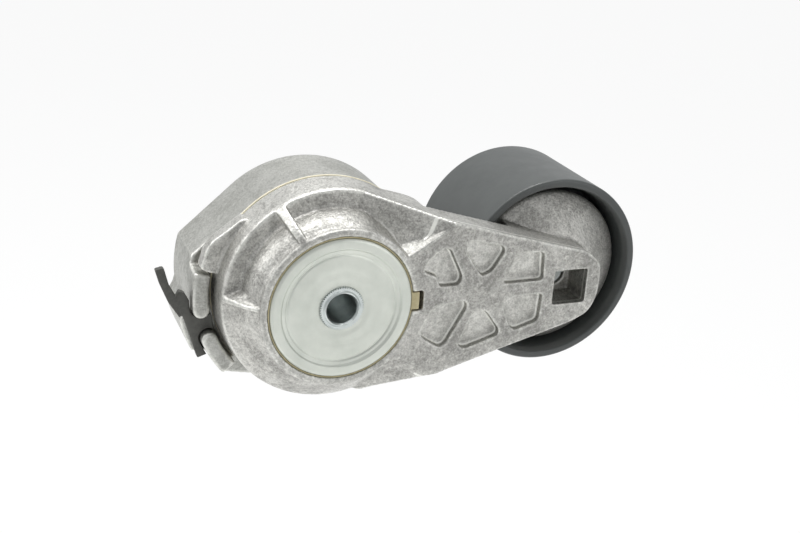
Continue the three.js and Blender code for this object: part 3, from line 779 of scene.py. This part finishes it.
print("web joined,", len(arm.data.polygons), "faces")

# %% [markdown]
# ## The arm: boss and stop
# Inside the pulley's mouth the arm ends in a round flange that tapers back to the bearing's seat. The
# web is deeper there. On the far side of the hub a wedge grows out of the skirt: it comes to rest on
# the spring case and stops the arm.
# %% Boss
BOSS_PROFILE = [
    (0, 12), (15, 12, 2), (26.5, 19.2, 2), (29.5, 21.4, 0.9), (29.0, 25.2, 0.8), (14.5, 27.4, 1.5),
    (12.5, 31.2, 0.4), (0, 31.2),
]
deep_web = piece_of("deep_web", slab(WEB_OUTLINE, 13, 21, softness=2.2))
combine(deep_web, rod(28.3, 0, 21, PULLEY), "INTERSECT")
joined(arm, turned(BOSS_PROFILE, PULLEY), as_bmesh(deep_web))

# %% Stop wedge
STOP_WEDGE = [polar(radius, angle) for radius, angle in [
    (37, 131.5), (40.2, 138), (42.6, 149), (44.2, 153), (44.9, 158), (44.8, 166.4), (42, 167.6),
    (37, 167.6),
]]
joined(arm, slab(STOP_WEDGE, 19.4, 25, softness=0.8, front_edge=0.5))
print("boss and stop joined,", len(arm.data.polygons), "faces")

# %% [markdown]
# ## The arm: hollows of the hub
# Two deep pockets, parted by ribs, lighten the cone of the hub. Each one is the space that a turning
# cutter would sweep, with a flat floor. The wall under the collar bulges in a round brow and then
# runs out into the floor, and that brow catches the brightest light on the hub. Near the web the
# upper pocket's wall moves inwards, so that the brow thins out. Two ribs run from collar to rim.
# %% Hub pockets and ribs
POCKET_FLOOR = 12.2
POCKET_PROFILE = [
    (28.3, -4), (28.3, 2.3, 0.5), (30.2, 4.2, 1.8), (31.3, 6.8, 2.2), (32.2, POCKET_FLOOR, 1.0),
    (46, POCKET_FLOOR), (46, -4),
]
RIB_PROFILE = [
    (27.5, 0.3), (28.6, 1.0, 0.4), (31.6, 3.0, 2.5), (37.0, 10.3), (38.1, 12.2, 0.6), (38.1, 13),
    (27.5, 13),
]
UPPER_START, UPPER_END = 30, 117.3
LEFT_START, LEFT_END = 122.7, 174.6
RIBS = [(120, 2.6), (176.3, 1.3)]
END_SLOPE = [
    (29.0, 176.5, 2.6), (38.0, 176.5, 12.2), (29.4, 170.5, 5.0), (31.9, 170.0, 12.6),
    (38.0, 175.3, 12.6), (29.0, 176.5, 13.0),
]
upper_room = swept(POCKET_PROFILE, UPPER_START, UPPER_END, 60)
for vert in upper_room.verts:
    radius = math.hypot(vert.co.x, vert.co.z) / MM
    angle = math.degrees(math.atan2(vert.co.z, vert.co.x))
    if 28.4 < radius < 40:
        brow = np.interp(radius, [28.4, 30.6, 32.4], [0, 1, 0])
        brow *= np.interp(angle, [58, 96], [1.7, 0])
        foot = np.interp(radius, [28.4, 32.2], [0, 1])
        foot *= np.interp(angle, [42, 72], [1.6, 0.2])
        shrink = 1 - (brow + foot) / radius
        vert.co.x *= shrink
        vert.co.z *= shrink
upper_pocket = piece_of("upper_pocket", upper_room)
combine(upper_pocket, ramp_room(), "INTERSECT")
carved(arm, as_bmesh(upper_pocket), swept(POCKET_PROFILE, LEFT_START, LEFT_END, 40))
for middle, half in RIBS:
    joined(arm, swept(RIB_PROFILE, middle - half, middle + half, 6))
end_slope = bmesh.new()
for radius, angle, depth in END_SLOPE:
    x, z = polar(radius, angle)
    end_slope.verts.new(at(x, depth, z))
bmesh.ops.convex_hull(end_slope, input=end_slope.verts[:])
joined(arm, outward(end_slope))
print("pockets and ribs made,", len(arm.data.polygons), "faces")


# %% The fading hollow and the bump
def hub_relief(radius, angle, depth):
    """How far back the front of the hub lies below the left rib, in millimetres."""
    wall = np.interp(angle, [178, 184, 192, 204, 216], [32.4, 31.9, 31.0, 29.6, 28.8])
    inside = smooth_step(radius, wall - 0.6, wall + 0.6) * (1 - smooth_step(radius, 36.4, 38.2))
    spread_out = smooth_step(angle, 178.0, 180.5) * (1 - smooth_step(angle, 204, 232))
    hollow = 1.2 * inside * spread_out
    bump = 1.0 * np.exp(-((radius - 33.2) / 2.6) ** 2 - ((angle - 230.5) / 3.6) ** 2)
    return (hollow - bump) * (depth < 14)


# %% [markdown]
# ## The arm: hollows of the web
# Six shallow pockets fan out round a plain middle in the web's face. Their corners and the foot of
# their walls are rounded, as a mould needs. The square hole takes a half-inch drive, to swing the arm
# back, and the round hole in its floor is threaded for the pulley's bolt.
# %% Web pockets
WEB_POCKETS = [
    [(29.5, 13.6), (35.6, 18.8), (38.4, 18.2), (43.6, 7.6), (42.6, 4.6), (35, 4.6), (34.2, 8.4),
     (29, 10.4)],
    [(44, 17), (45.4, 20.8), (58.6, 17.6), (59, 15.4), (54.8, 8.6), (51, 7)],
    [(59.6, 5.2), (64.4, 14.8), (74.6, 14.2), (75.2, 3.5), (60, 3.5)],
    [(60, -4.4), (61, -1.9), (75.6, -1.6), (75, -12.2), (66, -15), (64, -13.6)],
    [(49, -6), (53.8, -6.2), (59.8, -14.4), (59, -16.4), (46.4, -20.2), (43.8, -18.4)],
    [(29.2, -11), (33.8, -2.6), (45.6, -1.6), (46.4, -4.2), (38.8, -17.8), (36.6, -18.4),
     (29.8, -14)],
]
for outline in WEB_POCKETS:
    carved(arm, slab(outline, -2, WEB_FACE + WEB_POCKET_DEPTH, softness=1.35, rear_edge=0.9))
print("web pockets cut,", len(arm.data.polygons), "faces")

# %% Drive square, bores and the notch for the washer's tab
DRIVE_HALF = 6.5
DRIVE_FLOOR = 13.4
THREAD_R = 4.3
carved(
    arm,
    block((PULLEY[0] - DRIVE_HALF, -3, -DRIVE_HALF),
          (PULLEY[0] + DRIVE_HALF, DRIVE_FLOOR, DRIVE_HALF)),
    rod(THREAD_R, 10, 34, PULLEY, steps=64),
    rod(10.8, 3, 50, steps=96),
    block((22, -1.7, -3.4), (29.4, 4.9, 3.8)),
)
cast_skin(arm, grid=0.5, rounds=5, shape=hub_relief)
dress(arm, "arm", ARM_FINISH, "cast_aluminium", "tensioner_arm", sharp=False)

# %% [markdown]
# ## The arm: thread in the boss
# A thread is a small triangle wound into a helix. Spinning one triangular face while it also moves
# along the axis makes exactly that. The face sinks a little way into the wall of the hole.
# %% Thread
THREAD_PITCH = 1.25
thread_face = profile_face([
    (THREAD_R + 0.15, DRIVE_FLOOR + 0.5), (THREAD_R - 0.6, DRIVE_FLOOR + 1.05),
    (THREAD_R + 0.15, DRIVE_FLOOR + 1.6),
], PULLEY)
thread = piece_of("boss_thread", wound(thread_face, PULLEY, turns=3.2, pitch=THREAD_PITCH))
dress(thread, "arm", ZINC_FINISH, "cast_aluminium")

# %% [markdown]
# ## The spring case
# The case is a second casting, a cup that faces forwards and holds the spring. A straight flank runs
# from the round cup to the boss that carries the stops. At the back a thick round boss stands on the
# engine. The outline is arcs and straight runs, pushed back and rounded at the rear.
# %% Case body
CASE_OUTLINE = [
    *arc(38.4, -118, 129, 120),
    *arc(46, 165, 186, 12),
    *arc(50.2, 192.5, 207, 10),
    *arc(46, 209, 224, 8),
    (-24, -33.8, 1),
]
case = piece_of("cast_case", slab(CASE_OUTLINE, 26.4, 53, rear_edge=1.6))
joined(case, turned([(0, 52), (30.5, 52), (30.5, 53, 0.5), (27, 55.5, 1.5), (27, 62, 0.6), (0, 62)]))
joined(case, turned([(0, 51), (7, 51), (7, 62, 0.6), (0, 62)], PIN, steps=64))
print("case body,", len(case.data.polygons), "faces")

# %% Stop lugs
LUG_OUTER, LUG_INNER = 46, 40.3
LUG_MIDDLE, LUG_HALF = (LUG_OUTER + LUG_INNER) / 2, (LUG_OUTER - LUG_INNER) / 2
LUG_FACE = 20.0


def lug_outline(start, end, round_start, grow=0.0):
    """A curved bar about the pivot with one rounded end."""
    half = LUG_HALF + grow
    outer = arc(LUG_MIDDLE + half, start, end, 12)
    inner = arc(LUG_MIDDLE - half, end, start, 12)
    if round_start:
        cap = arc(half, start + 180, start + 360, 10, polar(LUG_MIDDLE, start))
        return outer + inner[:-1] + cap[:-1]
    cap = arc(half, end, end + 180, 10, polar(LUG_MIDDLE, end))
    return outer[:-1] + cap + inner[1:]


joined(
    case,
    slab(lug_outline(169.2, 187, False), LUG_FACE, 27.4, front_edge=0.7),
    slab(lug_outline(202.4, 220, True), LUG_FACE, 27.4, front_edge=0.7),
)

# %% Case hollows
carved(
    case,
    turned([(0, 25.4), (34.5, 25.4), (34.5, 47.5, 1), (32.5, 49.5, 1), (0, 49.5)]),
    rod(8.3, 47.5, 63, steps=96),
    rod(3.3, 52, 63, PIN, steps=48),
    swept([(39.6, 24.4), (47, 24.4), (47, 29), (39.6, 29)], 150, 168.8, 16),
)
cast_skin(case, grid=0.6, rounds=5)
dress(case, "case", CASE_FINISH, "cast_aluminium", "spring_case", sharp=False)

# %% [markdown]
# ## The nylon pieces
# A cream sleeve lines the case and damps the arm. All that shows of it is a thin flange, squeezed
# between arm and case. A beige washer takes the thrust behind the front plate, and its tab shows in a
# notch of the collar. A plain bushing fills the gap between tube and arm.
# %% Damper sleeve, pivot bushing and thrust washer
damper = piece_of("damper_sleeve", turned([
    (32.6, 25.3, 0.2), (39.0, 25.3, 0.25), (39.0, 26.1, 0.25), (34.2, 26.1), (34.2, 44, 0.3),
    (32.6, 44, 0.3),
]))
dress(damper, "case", CREAM_FINISH, "cream_nylon", "damper_bushing")

bushing = piece_of("bushing", turned([
    (8.3, 4.9, 0.3), (10.5, 4.9, 0.3), (10.5, 45.5, 0.3), (8.3, 45.5, 0.3),
], steps=96))
dress(bushing, "arm", CREAM_FINISH, "cream_nylon", "pivot_bushing")

washer = piece_of("tabbed_washer", turned([
    (12, 3, 0.2), (25.1, 3), (25.1, 0.7, 0.1), (25.5, 0.7, 0.1), (25.5, 4.3, 0.2), (12, 4.3, 0.2),
]))
tab = piece_of("tab", block((24.2, 0.7, -3), (28, 4.3, 3.4), edge=0.3))
carved(tab, rod(25.25, -1, 3))
joined(washer, as_bmesh(tab))
dress(washer, "arm", BEIGE_FINISH, "beige_nylon", "thrust_washer")

# %% [markdown]
# ## The front plate
# The plate is a pressed steel disc that holds the arm on. Its flat outer band steps down twice to a
# shallow dish, and each step shows as a bright line where it faces the light. It is one turned
# profile, so the steps are simply corners in that profile.
# %% Front plate
plate = piece_of("front_disc", turned([
    (7.1, 1.2), (9.0, 1.2, 0.5), (10.7, 0.95, 0.6), (12.9, 1.0, 1.0), (14.6, 0.86, 1.0),
    (18.6, 0.95, 0.3), (19.2, 1.2, 0.2), (19.8, 0.75, 0.2), (20.8, 0.7, 0.2), (21.4, 0, 0.3),
    (24.2, 0, 0.6), (25, 0.6, 0.4), (25, 2.4, 0.3), (20, 2.6), (7.1, 2.6),
], steps=200))
dress(plate, "case", PLATE_FINISH, "zinc_plate", "front_plate")

# %% [markdown]
# ## The pivot tube
# The tube runs through the whole tensioner and takes the mounting bolt. Its front end is staked over
# the plate: the tool leaves a ring of small teeth round a rolled lip. The ring starts as a circle
# with every second vertex pulled inwards, which is then pushed back.
# %% Pivot tube
TEETH = 56
TOOTH_R = 7.9
TOOTH_DEPTH = 0.75
TOOTH_FRONT, TOOTH_LENGTH = 0.55, 1.0


def toothed_ring():
    bm = bmesh.new()
    turn = Matrix.Rotation(math.radians(90), 4, "X")
    bmesh.ops.create_circle(bm, cap_ends=True, segments=TEETH * 2, radius=TOOTH_R * MM, matrix=turn)
    bm.verts.ensure_lookup_table()
    share = 1 - TOOTH_DEPTH / TOOTH_R
    bmesh.ops.scale(bm, verts=bm.verts[:][::2], vec=(share, 1, share))
    bmesh.ops.translate(bm, verts=bm.verts[:], vec=at(0, TOOTH_FRONT, 0))
    return push(bm, (0, TOOTH_LENGTH * MM, 0))


tube = piece_of("pivot_tube", turned([
    (0, -0.1), (6.0, -0.1, 0.3), (6.6, 0.6, 0.2), (6.6, 2.9), (8, 2.9, 0.2), (8, 62, 0.4), (0, 62),
], steps=96))
joined(tube, toothed_ring())
carved(tube, turned([
    (0, -2), (6.4, -2), (5.8, -0.1, 0.2), (5.15, 0.8, 0.4), (5.15, 61.2, 0.2), (5.9, 63), (0, 63),
], steps=96))
dress(tube, "case", ZINC_FINISH, "zinc_steel", "pivot_shaft")

# %% [markdown]
# ## The stop clip
# A stamped clip sits between the two lugs and reaches outside the case with a hooked finger. A
# stamping is an outline pushed back by the thickness of its sheet. The lugs, a little enlarged, are
# then cut out of it, so that it fits round them with a small gap.
# %% Stop clip
CLIP_PLATE = [
    (-50.4, 0.2), (-49.8, 1.5), (-47.9, 0.6), (-45.2, -4.5), (-38.6, -8), (-37.8, -15),
    (-39.8, -22.6), (-43.6, -23.9), (-47.6, -10.8), (-50.6, -2.6),
]
CLIP_FINGER = [
    (-57.7, 9.6, 0.4), (-56.2, 4.4), (-53.4, -2.4), (-49.6, -8.4), (-47.5, -6), (-50.3, -1.4),
    (-53.1, 4.0), (-54.8, 10.3, 0.6),
]
clip = piece_of("clip", slab(CLIP_PLATE, 23.4, 26.1, softness=0.4))
joined(clip, slab(CLIP_FINGER, 23.9, 26.1))
carved(
    clip,
    rod(39.6, 15, 30),
    slab(lug_outline(160, 187, False, grow=0.5), 15, 30),
    slab(lug_outline(202.4, 226, True, grow=0.45), 15, 30),
)
cast_skin(clip, grid=0.25, rounds=3)
dress(clip, "case", CLIP_FINISH, "black_steel", "stop_clip", sharp=False)

# %% [markdown]
# ## Pin and spring
# A plain pin with a chamfered tip locates the case on the engine. Inside the case lies the torsion
# spring: a round wire face wound into four turns, the same way as the thread.
# %% Locating pin
pin = piece_of("dowel_pin", turned([(0, 52.4), (3, 52.4, 0.4), (3, 68, 0.8), (0, 68)], PIN, steps=64))
dress(pin, "case", BRIGHT_FINISH, "bright_steel", "locating_pin")

# %% Torsion spring
SPRING_R, WIRE_R = 26, 2.6
SPRING_FRONT, SPRING_REAR, SPRING_TURNS = 20, 45.5, 4
wire = bmesh.new()
bmesh.ops.create_circle(wire, cap_ends=True, segments=16, radius=WIRE_R * MM)
bmesh.ops.translate(wire, verts=wire.verts[:], vec=at(SPRING_R, SPRING_FRONT, 0))
pitch = (SPRING_REAR - SPRING_FRONT) / SPRING_TURNS
spring = piece_of("coil_spring", wound(wire, PIVOT, SPRING_TURNS, pitch, steps=64))
dress(spring, "case", SPRING_FINISH, "spring_steel", "torsion_spring")

# %% [markdown]
# ## The pulley
# The pulley is a turned shell: a smooth outside for the back of the belt, a thin rim, and an inner
# wall that carries the bearing's seat. Its mouth steps inwards, and that step catches a lighter band.
# %% Pulley shell
pulley = piece_of("pulley", turned([
    (35.46, 15.4, 1.1), (35.46, 59.5, 1.1), (32.6, 59.5, 0.6), (31.8, 56.5, 1), (31.4, 40.5, 1.5),
    (24.5, 40.5, 0.8), (24.5, 46.9, 0.4), (20.3, 46.9, 0.3), (20.3, 31.5), (18.3, 31.2),
    (18.3, 29.5, 0.3), (24, 29.5, 0.6), (26, 34.5, 1.5), (31.4, 33.5, 2), (31.8, 18.4, 1),
    (32.6, 15.4, 0.6),
], PULLEY, steps=220))
dress(pulley, "pulley", COAT_FINISH, "pulley_coat", "pulley_shell")

# %% [markdown]
# ## The bearing
# The bearing is a plain deep-groove one: two races, eight balls in a cage, and a rubber seal on each
# side. The grooves are arcs about the balls' circle. Only the seals and the edges of the races show,
# but the rest is there for anyone who takes the model apart.
# %% Races
BEARING_MIDDLE, BEARING_HALF = 37.5, 6.0
ORBIT_R, BALL_R, BALLS = 14.25, 3.37, 8
GROOVE_R = BALL_R + 0.16


def groove(side, race_radius):
    """The arc of a ball groove that opens at a race's surface."""
    reach = math.degrees(math.acos(abs(race_radius - ORBIT_R) / GROOVE_R))
    return [
        (ORBIT_R + side * GROOVE_R * math.cos(math.radians(reach * share)),
         BEARING_MIDDLE + GROOVE_R * math.sin(math.radians(reach * share)))
        for share in np.linspace(-1, 1, 9)
    ]


def race(name, body, bore, surface, side, node):
    front, rear = BEARING_MIDDLE - BEARING_HALF, BEARING_MIDDLE + BEARING_HALF
    made = piece_of(name, turned([
        (bore, front, 0.5), (surface, front, 0.3), *groove(side, surface), (surface, rear, 0.3),
        (bore, rear, 0.5),
    ], PULLEY, steps=128))
    return dress(made, body, BRIGHT_FINISH, "bright_steel", node)


race("inner_race", "arm", 8.5, 11.8, -1, "bearing_inner_race")
race("outer_race", "pulley", 20.0, 16.7, 1, "bearing_outer_race")

# %% Seals and retaining ring
for side, depth in (("front", 31.8), ("rear", 42.3)):
    lip = piece_of(f"seal_{side}", turned([
        (12.1, depth, 0.15), (13.0, depth, 0.2), (13.3, depth + 0.25, 0.2), (15.2, depth + 0.25, 0.2),
        (15.5, depth, 0.2), (16.4, depth, 0.15), (16.4, depth + 0.9, 0.2), (12.1, depth + 0.9, 0.2),
    ], PULLEY, steps=128))
    dress(lip, "pulley", SEAL_FINISH, "seal_rubber", f"bearing_seal_{side}")
ring = piece_of("circlip", turned([
    (17.6, 43.8, 0.2), (20, 43.8, 0.2), (20, 45.3, 0.2), (17.6, 45.3, 0.2),
], PULLEY, steps=128))
dress(ring, "pulley", SPRING_FINISH, "spring_steel", "retaining_ring")

# %% Balls and cage
for i in range(BALLS):
    x, z = polar(ORBIT_R, i * 360 / BALLS)
    sphere = bmesh.new()
    bmesh.ops.create_uvsphere(sphere, u_segments=24, v_segments=16, radius=BALL_R * MM,
                              matrix=Matrix.Translation(at(PULLEY[0] + x, BEARING_MIDDLE, z)))
    ball = piece_of(f"ball_{i + 1}", sphere)
    dress(ball, "ball_set", BRIGHT_FINISH, "bright_steel", f"bearing_ball_{i + 1}")
cage_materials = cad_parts["ball_cage"].data.materials
cage_materials.clear()
cage_materials.append(CAGE_FINISH)

# %% [markdown]
# ## Bolt and washer
# The pulley's bolt comes in from behind. Its head is a hexagon with the corners turned off at an
# angle, so it is a six-sided prism cut to a turned cone, on top of a turned flange and shoulder.
# %% Pulley bolt
HEAD_FRONT = 46.1
HEX_ACROSS = 17
hexagon = [polar(HEX_ACROSS / math.sqrt(3), 30 + 60 * i) for i in range(6)]
hexagon = [(PULLEY[0] + x, PULLEY[1] + z) for x, z in hexagon]
head = piece_of("head", slab(hexagon, HEAD_FRONT + 2, HEAD_FRONT + 10))
chamfer = turned([
    (0, 40), (12, 40), (12, HEAD_FRONT + 8), (8.6, HEAD_FRONT + 10), (8.6, 60), (0, 60),
], PULLEY)
combine(head, chamfer, "INTERSECT")
bolt = piece_of("bolt", turned([
    (0, 19), (3.3, 19), (4.0, 20), (4.0, 31.5), (8.2, 31.5, 0.3), (8.2, HEAD_FRONT),
    (12, HEAD_FRONT, 0.3), (12, HEAD_FRONT + 1.4, 0.4), (9.2, HEAD_FRONT + 2.6, 0.4),
    (0, HEAD_FRONT + 2.6),
], PULLEY, steps=96))
joined(bolt, as_bmesh(head))
dress(bolt, "arm", BOLT_FINISH, "bolt_steel", "pulley_bolt")

# %% Washer
spacer = piece_of("washer", turned([
    (8.5, 43.8, 0.2), (11.6, 43.8, 0.3), (11.6, 45.8, 0.3), (8.5, 45.8, 0.2),
], PULLEY, steps=96))
dress(spacer, "arm", ZINC_FINISH, "zinc_steel", "bearing_washer")

# %% [markdown]
# ## Floor and light
# The tensioner hangs over a plain white floor, far enough above it that its shadow falls out of the
# way. One large soft lamp overhead lights the slopes that face up. Three weaker ones, and pale
# surroundings that are brightest high up behind it, fill the rest, as a light tent does.
# %% Floor
FLOOR_DROP = 0.2
WHITE = (1, 1, 1, 1)
floor_mesh = bmesh.new()
bmesh.ops.create_grid(floor_mesh, x_segments=8, y_segments=8, size=40,
                      matrix=Matrix.Translation((0, 0, cad_box[0].z - FLOOR_DROP)))
floor = piece_of("floor", floor_mesh)
floor_paint = bpy.data.materials.new("white_paper")
floor_paint.use_nodes = True
paper = floor_paint.node_tree
paper_cloud = noise(paper, add(paper, "TexCoord").outputs["Object"], 3.0)
paper_tone = blend_colour(paper, paper_cloud, (0.93, 0.93, 0.925, 1), (0.96, 0.96, 0.955, 1))
matt = fill(paper, paper.nodes["Principled BSDF"], {"Base Color": paper_tone, "Roughness": 0.9})
glow = add(paper, "Emission", {"Color": WHITE, "Strength": 1.0}).outputs[0]
paper_seen = add(paper, "LightPath").outputs["Is Camera Ray"]
paper_share = times(paper, paper_seen, 0.85)
paper_both = add(paper, "MixShader", {0: paper_share, 1: matt.outputs[0], 2: glow})
fill(paper, paper.nodes["Material Output"], {"Surface": paper_both.outputs[0]})
floor.data.materials.append(floor_paint)

# %% Surroundings
BRIGHT_SIDE = Vector((-0.3, 0.72, 0.62))
world = bpy.data.worlds.new("light_tent")
world.use_nodes = True
bpy.context.scene.world = world
tent = world.node_tree
tent.nodes.clear()
seen = add(tent, "Background", {"Color": WHITE, "Strength": 1.0}).outputs[0]
direction = add(tent, "TexCoord").outputs["Generated"]
towards = add(tent, "VectorMath", {0: direction, 1: BRIGHT_SIDE}, operation="DOT_PRODUCT")
glow_there = add(tent, "MapRange", {  # soft from the dim side to the bright side
    0: towards.outputs["Value"], 1: -0.5, 2: 0.95, 3: 0.46, 4: 0.8,
}, interpolation_type="SMOOTHSTEP").outputs[0]
felt = add(tent, "Background", {
    "Color": (0.98, 0.99, 1, 1), "Strength": glow_there,
}).outputs[0]
camera_ray = add(tent, "LightPath").outputs["Is Camera Ray"]
both = add(tent, "MixShader", {0: camera_ray, 1: felt, 2: seen}).outputs[0]
add(tent, "OutputWorld", {"Surface": both})


# %% Lamps
def lamp(name, place, size, power):
    """A square soft lamp that looks at the front plate."""
    light = bpy.data.lights.new(name, "AREA")
    light.shape = "SQUARE"
    light.size = size
    light.energy = power
    made = bpy.data.objects.new(name, light)
    made.location = place
    made.rotation_mode = "QUATERNION"
    made.rotation_quaternion = (Vector(place) - TARGET).to_track_quat("Z", "Y")
    bpy.context.scene.collection.objects.link(made)
    print(name, "lamp of", power, "W")


lamp("overhead", (0.11, 0.1, 0.75), 0.42, 3.8)
lamp("upper_left", (-0.33, 0.0, 0.7), 0.32, 1.3)
lamp("left", (-0.62, 0.2, 0.36), 0.35, 1.2)
lamp("front_right", (0.6, -0.8, 0.2), 0.5, 1.2)
bpy.context.scene.view_settings.view_transform = "Standard"
